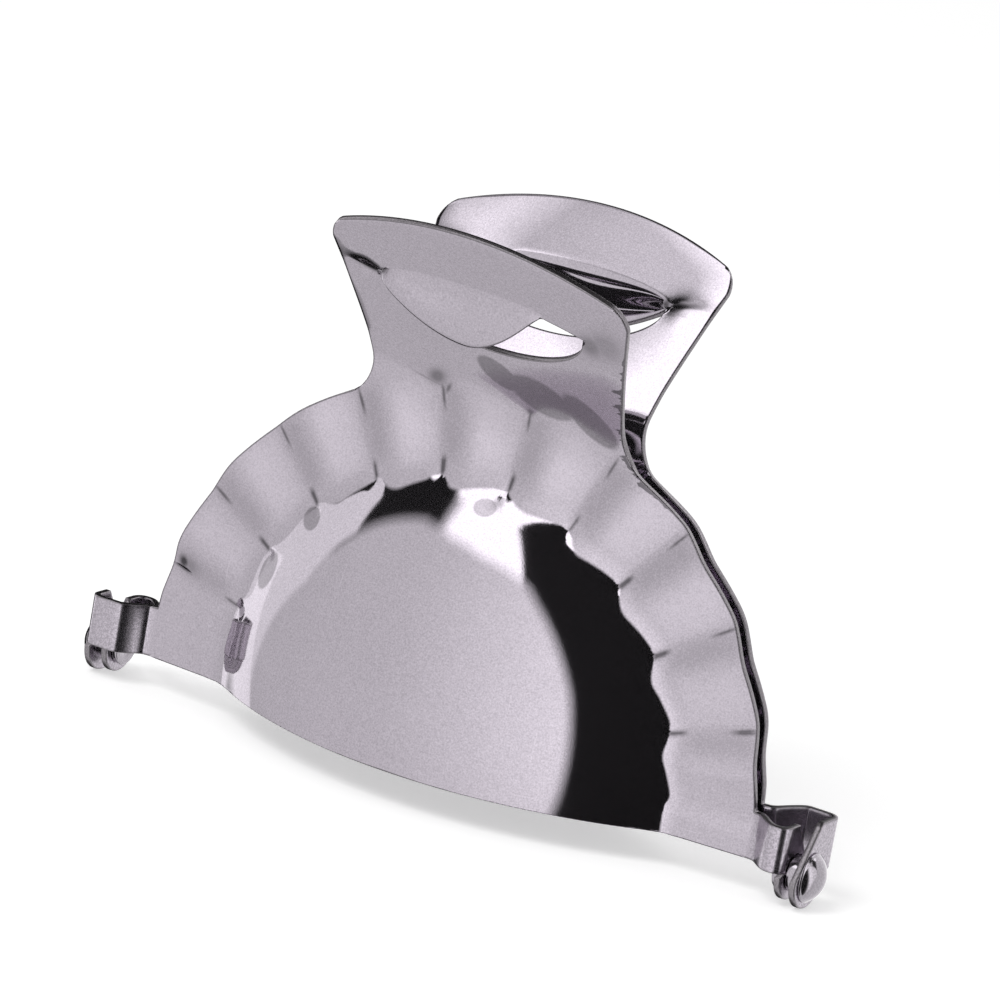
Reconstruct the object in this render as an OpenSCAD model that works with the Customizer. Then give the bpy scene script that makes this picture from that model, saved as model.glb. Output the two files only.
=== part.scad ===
// Hinged stamped-steel mold that folds a round wrapper in half and crimps its edge.
// Two like halves face each other, turned half a turn about Z, and swing on a rivet at each end.
// Origin: on the surface under the hinge ears, midway between them. X runs along the hinge line,
// -Y is the front, +Z is up. Each half is drawn about its hinge axis, with its outside towards -Y.

/* [Plates] */
// Outer radius of the pleated rim
plate_r = 40; // [38:0.5:44]
// Radius where the rim meets the bowl
bowl_r = 29.7; // [27:0.3:32]
// Height of the bowl above the inner edge of the rim
bowl_depth = 11.2; // [8:0.2:13]
// Thickness of the steel sheet
sheet_t = 0.8; // [0.5:0.1:0.9]
// Height of the rim's centre above the plate's straight bottom edge
plate_drop = 3.1; // [2.5:0.1:5]
// Gap from the hinge axis up to the plate's bottom edge
edge_gap = 0.2; // [0.1:0.1:1]
// Half of the least gap between the middles of the closed sheets
half_gap = 0.5; // [0.45:0.05:1]
// Rise of the rim from its outer edge to the bowl
rim_rise = 1.1; // [0.4:0.1:2]

/* [Pleats] */
// Number of pleats along the rim
pleats = 10; // [8:2:10]
// Angle from one crease to the next
pleat_pitch = 16.9; // [16:0.1:17]
// Height of a pleat over its crease
pleat_h = 1.45; // [0.6:0.05:1.6]
// Angle that a pleat's steep side takes
pleat_steep = 7; // [5:0.5:8]
// Angle by which the end pleats are narrower than the others
end_trim = 0.9; // [0:0.1:1.5]

/* [Handle] */
// Half of the handle's width at its neck
neck_half_w = 16.4; // [14:0.2:18]
// Half of the handle's width at its top corners
top_half_w = 19.2; // [17:0.2:21]
// Height of the top corners above the hinge axis
corner_z = 59.4; // [58:0.2:66]
// Rise of the handle's top edge between its corners
top_rise = 3.7; // [3:0.1:7]
// Angle at which the handle leans outwards
lean = 34.7; // [25:0.1:42]
// Radius of the handle's top corners
corner_r = 3; // [1.5:0.5:4]
// Slope by which the pressed handle sits askew
skew = 0.03; // [0:0.005:0.05]

/* [Scoop] */
// Half of the slot's width
slot_half_w = 13; // [12:0.2:14]
// Drop from the handle's top corners to the slot's tips
slot_drop = 4.7; // [4:0.1:7]
// Depth of the slot's lower edge below its tips
cut_drop = 5.4; // [4:0.1:6]
// Reach of the scoop from its lowest point to the slot's open end
scoop_half_w = 9; // [7:0.2:10]
// Distance of the scoop's lowest point from the slot's middle
scoop_off = 1.2; // [0:0.1:1.5]
// Rise of the scoop's fold above the slot's tips
scoop_rise = 2.2; // [2:0.1:3]
// Width of the slot left under the scoop's lowest point, seen square on
slot_w = 0.45; // [0.3:0.05:1]
// By how much the slot widens towards its closed end
slot_flare = 2.8; // [2:0.2:4]
// How far the scoop is pushed out of the handle
scoop_push = 3; // [1:0.25:3.5]

/* [Hinge] */
// Radius of the outer ears' round lobes, which the mold stands on
lobe_r = 3.6; // [3.4:0.1:4]
// Radius of the inner ears' lobes
inner_lobe_r = 3.2; // [2.8:0.1:3.2]
// Height of the outer ears
ear_h = 6; // [5:0.2:7]
// Height of the inner ears
inner_ear_h = 5.4; // [4:0.2:5.8]
// Distance from the plate's edge to the middle of an outer ear's face
ear_reach = 7.2; // [6.6:0.1:8]
// How far the front half's outer ear stands out from the parting plane
front_ear_out = 3.8; // [3.8:0.1:5]
// How far the rear half's outer ear stands out from the parting plane
rear_ear_out = 5.2; // [4.4:0.1:6]
// How far the inner ears stand out from the parting plane
inner_ear_out = 3.2; // [2.6:0.1:3.4]
// Radius of the fold beside an ear's face, at the sheet's middle
fold_r = 1.1; // [0.8:0.1:1.4]
// Gap between the faces of two ears
ear_gap = 1.3; // [0.6:0.1:1.6]
// Distance of the slanted cut of an ear from the hinge axis
slant_d = 2.8; // [2.4:0.1:3.2]
// Angle of the slanted cut off the upright
slant_a = 34; // [25:1:45]
// Radius of the rivet's shank
shank_r = 1.5; // [1:0.1:1.6]
// Radial clearance of the shank in the ears
rivet_clear = 0.05; // [0.02:0.01:0.1]
// Radius of the rivet's domed head
head_r = 2.9; // [2.2:0.1:3.2]
// Height of the rivet's domed head
head_h = 1.7; // [1.2:0.1:2.2]
// Radius of the rivet's shoulder between the ears
shoulder_r = 2.2; // [1.8:0.1:2.4]
// Radius of the rivet's flattened tail
tail_r = 2.2; // [1.8:0.1:2.4]
// Thickness of the rivet's flattened tail
tail_h = 0.7; // [0.4:0.1:0.9]
// Free play along the hinge on each side of an inner ear
side_play = 0.1; // [0.05:0.05:0.2]
// Angle by which the halves stand open
open_angle = 0; // [0:0.5:8]

/* [Hidden] */
steel = [0.72, 0.70, 0.72];
rivet_steel = [0.60, 0.58, 0.60];
$fn = 48;
centre_z = edge_gap + plate_drop;
// The halves are alike, so their pleats nest when each crease faces the other's crest
first_crease = (180 - (pleats + 1) * pleat_pitch + pleat_steep) / 2;
steep_share = pleat_steep / pleat_pitch;
end_share = 0.42;
crest_soft = 0.5;
pleat_fade = 5;
bowl_pleat_share = 0.5;
bowl_soft = 1.4;
dome_r = (bowl_r * bowl_r + bowl_depth * bowl_depth) / (2 * bowl_depth);
lean_soft = 3;
lean_inset = 4.1;
lean_z = centre_z + plate_r - lean_inset;
top_r = (top_half_w * top_half_w + top_rise * top_rise) / (2 * top_rise);
top_slope = top_half_w / (top_r - top_rise);
tip_z = corner_z - slot_drop;
chord_rise = 1.6;
push_y = scoop_push / cos(lean);
scoop_round = 0.75;
closed_round = 0.5;
skew_run = 8;

// Smooth upper and lower envelopes of two heights
function blend_up(a, b, k) = let (h = max(k - abs(a - b), 0) / k) max(a, b) + h * h * k / 4;
function blend_low(a, b, k) = -blend_up(-a, -b, k);
function mix(a, b, t) = a * (1 - t) + b * t;
function clamp01(t) = min(max(t, 0), 1);

// The creases' angles, the end ones moved in by the trim
function crease_a(k) =
    first_crease + k * pleat_pitch + (k == 0 ? end_trim : k == pleats ? -end_trim : 0);

// Share of the pleat's height at an angle about the rim's centre: steep on one side of each crease
function pleat_share(a) =
    a < crease_a(0) ? min((crease_a(0) - a) / pleat_steep, end_share) :
    a > crease_a(pleats) ? min((a - crease_a(pleats)) / (pleat_pitch - pleat_steep), end_share) :
    let (k = min(max(floor((a - first_crease) / pleat_pitch), 0), pleats - 1),
         f = (crease_a(k + 1) - a) / (crease_a(k + 1) - crease_a(k)))
    max(blend_low(f / steep_share, (1 - f) / (1 - steep_share), crest_soft), 0);

// Heights of the sheet's middle over the parting plane, where each form alone would lie
function rim_height(r, a) =
    half_gap + rim_rise * min(max(plate_r - r, 0) / (plate_r - bowl_r), 1.2)
    + pleat_h * pleat_share(a) * clamp01(1 - (r - plate_r) / pleat_fade)
    * mix(bowl_pleat_share, 1, clamp01((r - bowl_r) / (plate_r - bowl_r)));
function dome_height(r) =
    half_gap + rim_rise + bowl_depth - dome_r + sqrt(max(dome_r * dome_r - r * r, 0));
function handle_height(z) = (z - lean_z) * tan(lean);

// The slot's lower edge is half an ellipse. The scoop's lip follows it from one tip to a point off
// the slot's middle, then climbs to a chord that joins the tips, and the fold lies over the chord.
function slot_share(x) = clamp01(1 - pow(x / slot_half_w, 2));
function scoop_share(x) =
    let (reach = x < -scoop_off ? slot_half_w - scoop_off : scoop_half_w)
    clamp01(1 - pow((x + scoop_off) / reach, 2));
function fold_z(x) = tip_z + scoop_rise * sqrt(slot_share(x));
function cut_z(x) = tip_z - cut_drop * sqrt(slot_share(x));
function lip_z(x) =
    x < -scoop_off ? cut_z(x) + (slot_w + slot_flare * (1 - scoop_share(x))) * sqrt(slot_share(x)) :
    mix(tip_z + chord_rise * slot_share(x), cut_z(-scoop_off) + slot_w, scoop_share(x));
function scoop_height(x, z) =
    scoop_share(x) == 0 || z >= fold_z(x) ? 0 :
    let (v = (fold_z(x) - z) / (fold_z(x) - lip_z(x)))
    push_y * pow(scoop_share(x), x < -scoop_off ? closed_round : scoop_round) * v * v * (2 - v);

function sheet_height(x, z, scooped) =
    let (r = norm([x, z - centre_z]), a0 = atan2(z - centre_z, x), a = a0 < -90 ? a0 + 360 : a0,
         plate = blend_up(dome_height(r), rim_height(r, a), bowl_soft))
    blend_up(plate, handle_height(z), lean_soft) + (scooped ? scoop_height(x, z) : 0);

// A point of one face of the sheet, half the thickness off its middle
function sheet_point(p, side) =
    let (e = 0.02, x = p[0], z = p[1], s = p[2],
         gx = (sheet_height(x + e, z, s) - sheet_height(x - e, z, s)) / (2 * e),
         gz = (sheet_height(x, z + e, s) - sheet_height(x, z - e, s)) / (2 * e),
         n = [gx, 1, gz] / norm([gx, 1, gz]))
    askew([x, -sheet_height(x, z, s), z] + n * side * sheet_t / 2);
function askew(p) =
    let (h = p[2] - foot_z, b = skew * clamp01(h / skew_run)) [p[0] + b * h, p[1], p[2] - b * p[0]];

// Rays about the rim's centre: five to a pleat, then the ends and the straight bottom edge
ray_steps = [0, 0.18, 0.37, 1 - steep_share, 0.79];
per_pleat = len(ray_steps);
bottom_steps = [0.93, 0.84, 0.75, 0.7, 0.6, 0.45, 0.3, 0.15];
bottom_x = plate_r * concat(
    -bottom_steps, [0], [for (i = [len(bottom_steps) - 1 : -1 : 0]) bottom_steps[i]]);
corner_a = atan(plate_drop / plate_r);
end_steps = [1, 0.6, 0.25];
rays = concat(
    [for (s = end_steps) mix(crease_a(0), -corner_a, s)],
    [for (k = [0 : pleats - 1]) for (s = ray_steps) mix(crease_a(k), crease_a(k + 1), s)],
    [crease_a(pleats)],
    [for (i = [len(end_steps) - 1 : -1 : 0]) mix(crease_a(pleats), 180 + corner_a, end_steps[i])],
    [for (x = bottom_x) 360 + atan2(-plate_drop, x)]);
ray_count = len(rays);
bowl_rings = [0.2, 0.4, 0.58, 0.73, 0.84, 0.91, 0.96, 1];
rim_rings = [0.12, 0.4, 0.7, 1];
ring_count = len(bowl_rings) + len(rim_rings);
edge_ring = 1.2;

// Radius of the plate's outline along a ray, and of each ring on the way out to it
function reach(a) =
    a > 180 || a < 0 ? min(plate_drop / abs(sin(a)), plate_r / abs(cos(a))) : plate_r;
function ring_r(j, a) =
    let (end_r = reach(a), knee = min(bowl_r, end_r - edge_ring))
    j < len(bowl_rings) ? bowl_rings[j] * knee : mix(knee, end_r, rim_rings[j - len(bowl_rings)]);
function disc_xz(i, j) =
    let (a = rays[i], r = ring_r(j, a)) [r * cos(a), centre_z + r * sin(a), false];

// The handle rises between two feet on the rim, each with a round fillet up to the neck
foot_a_aim = 61.7;
foot_pleat = floor((foot_a_aim - first_crease) / pleat_pitch - 1 + steep_share + 0.05);
foot_ray = len(end_steps) + per_pleat * foot_pleat + 3;
columns = per_pleat * (pleats - foot_pleat) + len(end_steps) - foot_ray;
foot_a = rays[foot_ray];
fillet_r = (plate_r * cos(foot_a) - neck_half_w) / (1 - cos(foot_a));
foot_x = plate_r * cos(foot_a);
foot_z = centre_z + plate_r * sin(foot_a);
neck_z = centre_z + (plate_r + fillet_r) * sin(foot_a);
corner_centre = [top_half_w - corner_r,
                 corner_z + top_slope * corner_r - corner_r * sqrt(1 + top_slope * top_slope)];
corner_mid = (90 - atan(top_slope)) / 2;
side_flare = 1.3;
corner_top = corner_centre[1] + corner_r * sin(corner_mid);

function side_x(z) =
    z < neck_z ? neck_half_w + fillet_r - sqrt(max(fillet_r * fillet_r - pow(neck_z - z, 2), 0)) :
    z < corner_centre[1] ?
        mix(neck_half_w, top_half_w, pow((z - neck_z) / (corner_centre[1] - neck_z), side_flare)) :
    corner_centre[0] + sqrt(max(corner_r * corner_r - pow(z - corner_centre[1], 2), 0));
function top_edge_z(x) =
    abs(x) < corner_centre[0] + corner_r * sin(atan(top_slope)) ?
        corner_z + top_rise - top_r + sqrt(top_r * top_r - x * x) :
    corner_centre[1] + sqrt(max(corner_r * corner_r - pow(abs(x) - corner_centre[0], 2), 0));

// Columns cross the handle from right to left; the slot's tips lie on the ones named here
tip_column = 2;
low_steps = [0, 0.14, 0.3, 0.46, 0.64, 0.82, 1];
low_rows = len(low_steps) - 1;
fold_row = 3;
high_steps = [0.45, 0.85, 1];
side_steps = [0.1, 0.2, 0.3, 0.6, 0.88, 1];
tip_steps = [0.03, 0.06, 0.1, 0.5, 0.87, 1];
high_rows = len(side_steps);

function slit_x(c) =
    c <= tip_column ? mix(side_x(tip_z), slot_half_w, c / tip_column) :
    c >= columns - tip_column ? -slit_x(columns - c) :
    slot_half_w * (1 - 2 * (c - tip_column) / (columns - 2 * tip_column));
function low_xz(c, r) =
    let (t = low_steps[r], a = rays[foot_ray + c], x1 = slit_x(c))
    [side_x(mix(foot_z, tip_z, t)) * mix(plate_r * cos(a) / foot_x, x1 / side_x(tip_z), t),
     mix(centre_z + plate_r * sin(a), cut_z(x1), t), false];
function high_xz(c, r) =
    let (x0 = slit_x(c), edge_c = min(c, columns - c),
         steps = edge_c < tip_column ? side_steps : tip_steps,
         share = edge_c <= tip_column ? steps[r - 1] : 0,
         side_z = mix(tip_z, corner_top, side_steps[r - 1]),
         x = x0 / side_x(tip_z) * side_x(side_z),
         top = top_edge_z(x0 / side_x(tip_z) * side_x(corner_top)))
    edge_c <= tip_column ? [x, mix(tip_z, top, share), true] :
    r <= fold_row ? [x0, mix(lip_z(x0), fold_z(x0), r / fold_row), true] :
    [x, mix(fold_z(x), top, high_steps[r - fold_row - 1]), true];

// Places of the points in the list: the plate's centre and rings, the handle's rows, then the scoop's
low_first = 1 + ring_count * ray_count;
high_first = low_first + low_rows * (columns + 1);
lip_first = high_first + high_rows * (columns + 1);
function ring_id(i, j) = 1 + j * ray_count + i % ray_count;
function low_id(c, r) =
    r == 0 ? ring_id(foot_ray + c, ring_count - 1) : low_first + (r - 1) * (columns + 1) + c;
function high_id(c, r) =
    r > 0 ? high_first + (r - 1) * (columns + 1) + c :
    c <= tip_column || c >= columns - tip_column ? low_id(c, low_rows) : lip_first + c - tip_column - 1;

middle = concat(
    [[0, centre_z, false]],
    [for (j = [0 : ring_count - 1]) for (i = [0 : ray_count - 1]) disc_xz(i, j)],
    [for (r = [1 : low_rows]) for (c = [0 : columns]) low_xz(c, r)],
    [for (r = [1 : high_rows]) for (c = [0 : columns]) high_xz(c, r)],
    [for (c = [tip_column + 1 : columns - tip_column - 1]) [slit_x(c), lip_z(slit_x(c)), true]]);
count = len(middle);

function quad(a, b, c, d) = [[a, b, c], [a, c, d]];
outer_faces = concat(
    [for (i = [0 : ray_count - 1]) [0, ring_id(i + 1, 0), ring_id(i, 0)]],
    [for (j = [0 : ring_count - 2]) for (i = [0 : ray_count - 1])
        each quad(ring_id(i, j), ring_id(i + 1, j), ring_id(i + 1, j + 1), ring_id(i, j + 1))],
    [for (r = [0 : low_rows - 1]) for (c = [0 : columns - 1])
        each quad(low_id(c, r), low_id(c + 1, r), low_id(c + 1, r + 1), low_id(c, r + 1))],
    [for (r = [0 : high_rows - 1]) for (c = [0 : columns - 1])
        each quad(high_id(c, r), high_id(c + 1, r), high_id(c + 1, r + 1), high_id(c, r + 1))]);

// The sheet's outline and the slot under the scoop, each with the steel on its left
outline = concat(
    [for (i = [0 : foot_ray]) ring_id(i, ring_count - 1)],
    [for (r = [1 : low_rows]) low_id(0, r)],
    [for (r = [1 : high_rows]) high_id(0, r)],
    [for (c = [1 : columns]) high_id(c, high_rows)],
    [for (r = [high_rows - 1 : -1 : 1]) high_id(columns, r)],
    [for (r = [low_rows : -1 : 0]) low_id(columns, r)],
    [for (i = [foot_ray + columns + 1 : ray_count - 1]) ring_id(i, ring_count - 1)]);
slot = concat(
    [for (c = [tip_column : columns - tip_column]) low_id(c, low_rows)],
    [for (c = [columns - tip_column - 1 : -1 : tip_column + 1]) high_id(c, 0)]);
function wall(loop) =
    [for (i = [0 : len(loop) - 1]) let (a = loop[i], b = loop[(i + 1) % len(loop)])
        each quad(a, b, b + count, a + count)];

module sheet() {
    points = concat([for (p = middle) sheet_point(p, -1)], [for (p = middle) sheet_point(p, 1)]);
    inner_faces = [for (f = outer_faces) [f[2] + count, f[1] + count, f[0] + count]];
    polyhedron(points, concat(outer_faces, inner_faces, wall(outline), wall(slot)));
}

// Plan of a bent strip of sheet along the points of its middle
function path_side(p, i) =
    let (d = p[min(i + 1, len(p) - 1)] - p[max(i - 1, 0)]) [-d[1], d[0]] / norm(d) * sheet_t / 2;
function strip_plan(p) = concat(
    [for (i = [0 : len(p) - 1]) p[i] + path_side(p, i)],
    [for (i = [len(p) - 1 : -1 : 0]) p[i] - path_side(p, i)]);

// A strip leaves the plate's straight side, swings out and folds into a face square to the hinge
edge_y = half_gap + end_share * pleat_h;
strip_seat = 1.5;
strip_lead = 0.6;
strip_swing = 3.2;
function ear_path(face_x, out) = concat(
    [[plate_r - strip_seat, -edge_y]],
    [for (t = [0 : 0.125 : 1])
        [plate_r + strip_lead + strip_swing * t, -mix(edge_y, out, t * t * (3 - 2 * t))]],
    [for (a = [-90 : 15 : 0]) [face_x - fold_r + fold_r * cos(a), fold_r - out + fold_r * sin(a)]]);

module ear_face(out, height, lobe) {
    difference() {
        union() {
            difference() {
                circle(r = lobe);
                translate([-2 * lobe, edge_gap])
                    square([2 * lobe + fold_r - out, lobe]);
            }
            translate([fold_r - out, edge_gap])
                square([out - fold_r + lobe, height]);
        }
        circle(r = shank_r + rivet_clear);
        rotate(slant_a)
            translate([slant_d, -2 * ear_h])
                square(4 * ear_h);
    }
}
module ear(face_x, out, height, lobe) {
    translate([0, 0, edge_gap])
        linear_extrude(height)
            polygon(strip_plan(ear_path(face_x, out)));
    translate([face_x - sheet_t / 2, 0, 0])
        rotate([90, 0, 90])
            linear_extrude(sheet_t)
                ear_face(out, height, lobe);
}

outer_face_x = plate_r + ear_reach;
inner_face_x = outer_face_x - sheet_t - ear_gap;
module half(outer_out) {
    rotate([open_angle / 2, 0, 0])
        union() {
            sheet();
            mirror([1, 0, 0])
                ear(outer_face_x, outer_out, ear_h, lobe_r);
            ear(inner_face_x, inner_ear_out, inner_ear_h, inner_lobe_r);
        }
}
module stand() {
    translate([0, 0, lobe_r])
        children();
}
module front_half() {
    color(steel)
        stand()
            half(front_ear_out);
}
module rear_half() {
    color(steel)
        stand()
            rotate(180)
                half(rear_ear_out);
}

// Rivet along +X from its tail to its domed head, seated on the outer ear's outer face
head_x = outer_face_x + sheet_t / 2;
shoulder_end = outer_face_x - sheet_t / 2;
shoulder_start = inner_face_x + sheet_t / 2 + side_play;
tail_end = inner_face_x - sheet_t / 2 - side_play;
head_dome_r = (head_r * head_r + head_h * head_h) / (2 * head_h);
module rivet() {
    rotate([0, 90, 0])
        union() {
            translate([0, 0, tail_end - tail_h])
                cylinder(h = head_x - tail_end + tail_h, r = shank_r);
            translate([0, 0, tail_end - tail_h])
                cylinder(h = tail_h, r = tail_r);
            translate([0, 0, shoulder_start])
                cylinder(h = shoulder_end - shoulder_start, r = shoulder_r);
            translate([0, 0, head_x])
                intersection() {
                    translate([0, 0, head_h - head_dome_r])
                        sphere(r = head_dome_r);
                    cylinder(h = head_h, r = head_r);
                }
        }
}
module left_rivet() {
    color(rivet_steel)
        stand()
            rotate([open_angle / 2, 0, 0])
                mirror([1, 0, 0])
                    rivet();
}
module right_rivet() {
    color(rivet_steel)
        stand()
            rotate([-open_angle / 2, 0, 0])
                rivet();
}

front_half();
rear_half();
left_rivet();
right_rivet();
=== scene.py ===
import math
import bpy
import numpy as np
from mathutils import Matrix, Vector


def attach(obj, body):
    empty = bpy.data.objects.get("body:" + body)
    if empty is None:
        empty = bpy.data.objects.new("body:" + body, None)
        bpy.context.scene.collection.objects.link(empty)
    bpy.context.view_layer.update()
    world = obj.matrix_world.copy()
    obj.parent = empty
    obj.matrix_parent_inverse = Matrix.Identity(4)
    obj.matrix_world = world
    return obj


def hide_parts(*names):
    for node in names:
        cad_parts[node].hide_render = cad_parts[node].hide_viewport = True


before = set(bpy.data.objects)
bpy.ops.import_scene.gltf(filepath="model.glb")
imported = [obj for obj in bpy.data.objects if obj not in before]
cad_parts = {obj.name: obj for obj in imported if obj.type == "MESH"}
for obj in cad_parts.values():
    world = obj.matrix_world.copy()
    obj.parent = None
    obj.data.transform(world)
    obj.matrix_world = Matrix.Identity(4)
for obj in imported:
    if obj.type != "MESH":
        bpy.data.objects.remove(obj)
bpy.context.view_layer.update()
mm = 0.001
hingeHeight = 3.6  # mm above the ground, the rivets' axis
white = (1, 1, 1, 1)
print("frame loaded")

# camera: where the picture was taken from, about the middle of the hinge line
view = {
    "azimuth": 27.70, "elevation": 16.71, "roll": 10.10,  # degrees
    "distance": 714.3,  # mm from the hinge
    "lens": 225.3, "sensor": 36,
    "aim": (54.8, 254.4),  # where the frame's middle looks, in frame pixels from the hinge
    "framePixels": 1000,
}


def makeCamera():
    az, el, roll = (math.radians(view[k]) for k in ("azimuth", "elevation", "roll"))
    right = Vector((math.cos(az), math.sin(az), 0))
    back = Vector((math.sin(az) * math.cos(el), -math.cos(az) * math.cos(el), math.sin(el)))
    up = back.cross(right)
    tiltedRight = right * math.cos(roll) + up * math.sin(roll)
    tiltedUp = up * math.cos(roll) - right * math.sin(roll)
    data = bpy.data.cameras.new("camera")
    data.lens = view["lens"]
    data.sensor_width = view["sensor"]
    data.clip_start = 0.01
    pixels = view["lens"] / view["sensor"] * view["framePixels"]
    forward = (-back * pixels + tiltedRight * view["aim"][0] + tiltedUp * view["aim"][1]).normalized()
    sideways = forward.cross(tiltedUp).normalized()
    turn = Matrix((sideways, sideways.cross(forward), -forward)).transposed().to_4x4()
    camera = bpy.data.objects.new("camera", data)
    place = Vector((0, 0, hingeHeight)) + back * view["distance"]
    camera.matrix_world = Matrix.Translation(place * mm) @ turn
    bpy.context.scene.collection.objects.link(camera)
    bpy.context.scene.camera = camera


makeCamera()
print("camera placed")


class Value:  # a number in a node tree, so that node maths reads as plain maths
    def __init__(self, graph, socket):
        self.graph = graph
        self.socket = socket

    def math(self, operation, *others):
        return self.graph.math(operation, self, *others)

    def __add__(self, other):
        return self.math("ADD", other)

    def __radd__(self, other):
        return self.graph.math("ADD", other, self)

    def __sub__(self, other):
        return self.math("SUBTRACT", other)

    def __rsub__(self, other):
        return self.graph.math("SUBTRACT", other, self)

    def __mul__(self, other):
        return self.math("MULTIPLY", other)

    def __rmul__(self, other):
        return self.graph.math("MULTIPLY", other, self)

    def __truediv__(self, other):
        return self.math("DIVIDE", other)

    def __rtruediv__(self, other):
        return self.graph.math("DIVIDE", other, self)

    def __pow__(self, other):
        return self.math("POWER", other)

    def __neg__(self):
        return self.graph.math("SUBTRACT", 0.0, self)

    def __gt__(self, other):
        return self.math("GREATER_THAN", other)

    def __lt__(self, other):
        return self.math("LESS_THAN", other)


class Graph:  # makes the nodes of one tree
    def __init__(self, tree):
        self.tree = tree

    def math(self, operation, *values):
        return self.node("ShaderNodeMath", {"operation": operation}, dict(enumerate(values)))

    def node(self, kind, settings=None, sockets=None, output=0):
        made = self.tree.nodes.new(kind)
        for name, value in (settings or {}).items():
            setattr(made, name, value)
        for key, value in (sockets or {}).items():
            if isinstance(value, Value):
                self.tree.links.new(value.socket, made.inputs[key])
            else:
                made.inputs[key].default_value = value
        return Value(self, made.outputs[output])

    def split(self, vector):
        first = self.node("ShaderNodeSeparateXYZ", {}, {0: vector})
        return [Value(self, first.socket.node.outputs[i]) for i in range(3)]

    def grey(self, level):  # the colour of one number
        return self.node("ShaderNodeCombineXYZ", {}, {i: level for i in range(3)})

    def end(self, kind, value):  # the tree's last node
        self.tree.links.new(value.socket, self.tree.nodes.new(kind).inputs[0])


def least(a, b):
    return a.math("MINIMUM", b)


def most(a, b):
    return a.math("MAXIMUM", b)


def clamp01(a):
    return least(most(a, 0.0), 1.0)


def ramp(value, start, full):  # 0 at the start, 1 from where it is full
    return clamp01((value - start) / (full - start))


def past(value, edge, soft):  # 1 beyond an edge, softly
    return clamp01((value - edge) / soft + 0.5)


def band(value, low, high, soft):  # 1 between two values, with soft edges
    return past(value, low, soft) * past(high, value, soft)


def bell(value, width):
    share = value / width
    return (-(share * share)).math("EXPONENT")


def spot(x, z, place, size, turn=0.0):  # a soft oval spot on the plan
    c, s = math.cos(math.radians(turn)), math.sin(math.radians(turn))
    dx, dz = x - place[0], z - place[1]
    return bell(dx * c + dz * s, size[0]) * bell(dz * c - dx * s, size[1])


def blendUp(a, b, soft):  # upper envelope of two heights, with a soft join
    h = most(soft - (a - b).math("ABSOLUTE"), 0.0) / soft
    return most(a, b) + h * h * soft / 4


def blendLow(a, b, soft):
    return -blendUp(-a, -b, soft)


# pressed form, sizes in mm and degrees
plate = {
    "Rim Radius": 40.0, "Bowl Radius": 29.7, "Bowl Depth": 11.2, "Half Gap": 0.5, "Rim Rise": 1.1,
    "Centre Height": 3.3,
    "Pleats": 10.0, "Pleat Pitch": 16.9, "Pleat Height": 1.45, "Pleat Steep": 7.0, "End Trim": 0.9,
    "End Share": 0.42, "Crest Soft": 0.5, "Pleat Fade": 5.0, "Bowl Pleat Share": 0.5, "Bowl Soft": 1.4,
    "Lean": 34.7, "Lean Inset": 4.1, "Lean Soft": 3.0, "Skew": 0.03, "Skew Run": 8.0,
    "Slot Half Width": 13.0, "Slot Tip Height": 54.7, "Cut Drop": 5.4, "Chord Rise": 1.6,
    "Scoop Half Width": 9.0, "Scoop Off": 1.2, "Scoop Rise": 2.2, "Slot Width": 0.45, "Slot Flare": 2.8,
    "Scoop Push": 3.65, "Scoop Round": 0.75, "Closed Round": 0.5, "Scoop Bend": 0.7,
    "Crease Soft": 0.14, "Dent Depth": 0.22, "Dent Radius": 29.2, "Line Shift": 1.4,
}
# how the press bends the scoop, how far the rim's slope runs on and how big its dents by the creases are
pressing = {"scoopEase": 0.3, "scoopSoft": 0.5, "slopeLimit": 1.2, "dentAcross": 0.8, "dentAlong": 0.9}
# other dents: place (x, z) on the plan, half sizes, turn in degrees and depth
dents = [
    ((-37.6, 12.4), (1.6, 1.3), -15, 0.16),
    ((14.8, 54.6), (2.4, 1.6), 10, 0.12),
    ((-15.0, 54.9), (1.8, 0.6), -8, 0.12),
    ((-15.8, 54.6), (2.4, 1.7), 0, 0.18),
    ((-6.9, 41.9), (0.6, 0.9), 20, 0.16),
    ((4.4, 42.3), (0.6, 0.9), -5, 0.16),
]


def rimPlace(x, z, size):  # where a point lies about the rim, and between which creases
    rise = z - size["Centre Height"]
    r = (x * x + rise * rise).math("SQRT")
    angle = rise.math("ARCTAN2", x) * (180 / math.pi)
    angle = angle + (angle < -90.0) * 360.0
    pitch, steep, pleats, trim = (size[k] for k in ("Pleat Pitch", "Pleat Steep", "Pleats", "End Trim"))
    first = (180.0 - (pleats + 1.0) * pitch + steep) / 2.0
    k = least(most(((angle - first) / pitch).math("FLOOR"), 0.0), pleats - 1.0)
    low = first + k * pitch + trim * (k < 0.5)
    high = first + (k + 1.0) * pitch - trim * (k > pleats - 1.5)
    return r, angle, low, high


def acrossCrease(r, angle, low, high, size):  # distance to the line pressed beside the nearest crease
    shift = size["Line Shift"]
    turned = least((angle - low + shift).math("ABSOLUTE"), (high - shift - angle).math("ABSOLUTE"))
    return turned * r * (math.pi / 180)


def pleatShare(angle, low, high, size):  # height of the pleats, 0 to 1, steep on one side of each crease
    f = (high - angle) / (high - low)
    pitch, steep = size["Pleat Pitch"], size["Pleat Steep"]
    steepShare = steep / pitch
    middle = blendLow(f / steepShare, (1.0 - f) / (1.0 - steepShare), size["Crest Soft"])
    startEnd = least(most(low - angle, 0.0) / steep, size["End Share"])
    farEnd = least(most(angle - high, 0.0) / (pitch - steep), size["End Share"])
    share = most(most(middle, 0.0), most(startEnd, farEnd))
    soft = size["Crease Soft"]
    return (share * share + soft * soft).math("SQRT") - soft


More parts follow.
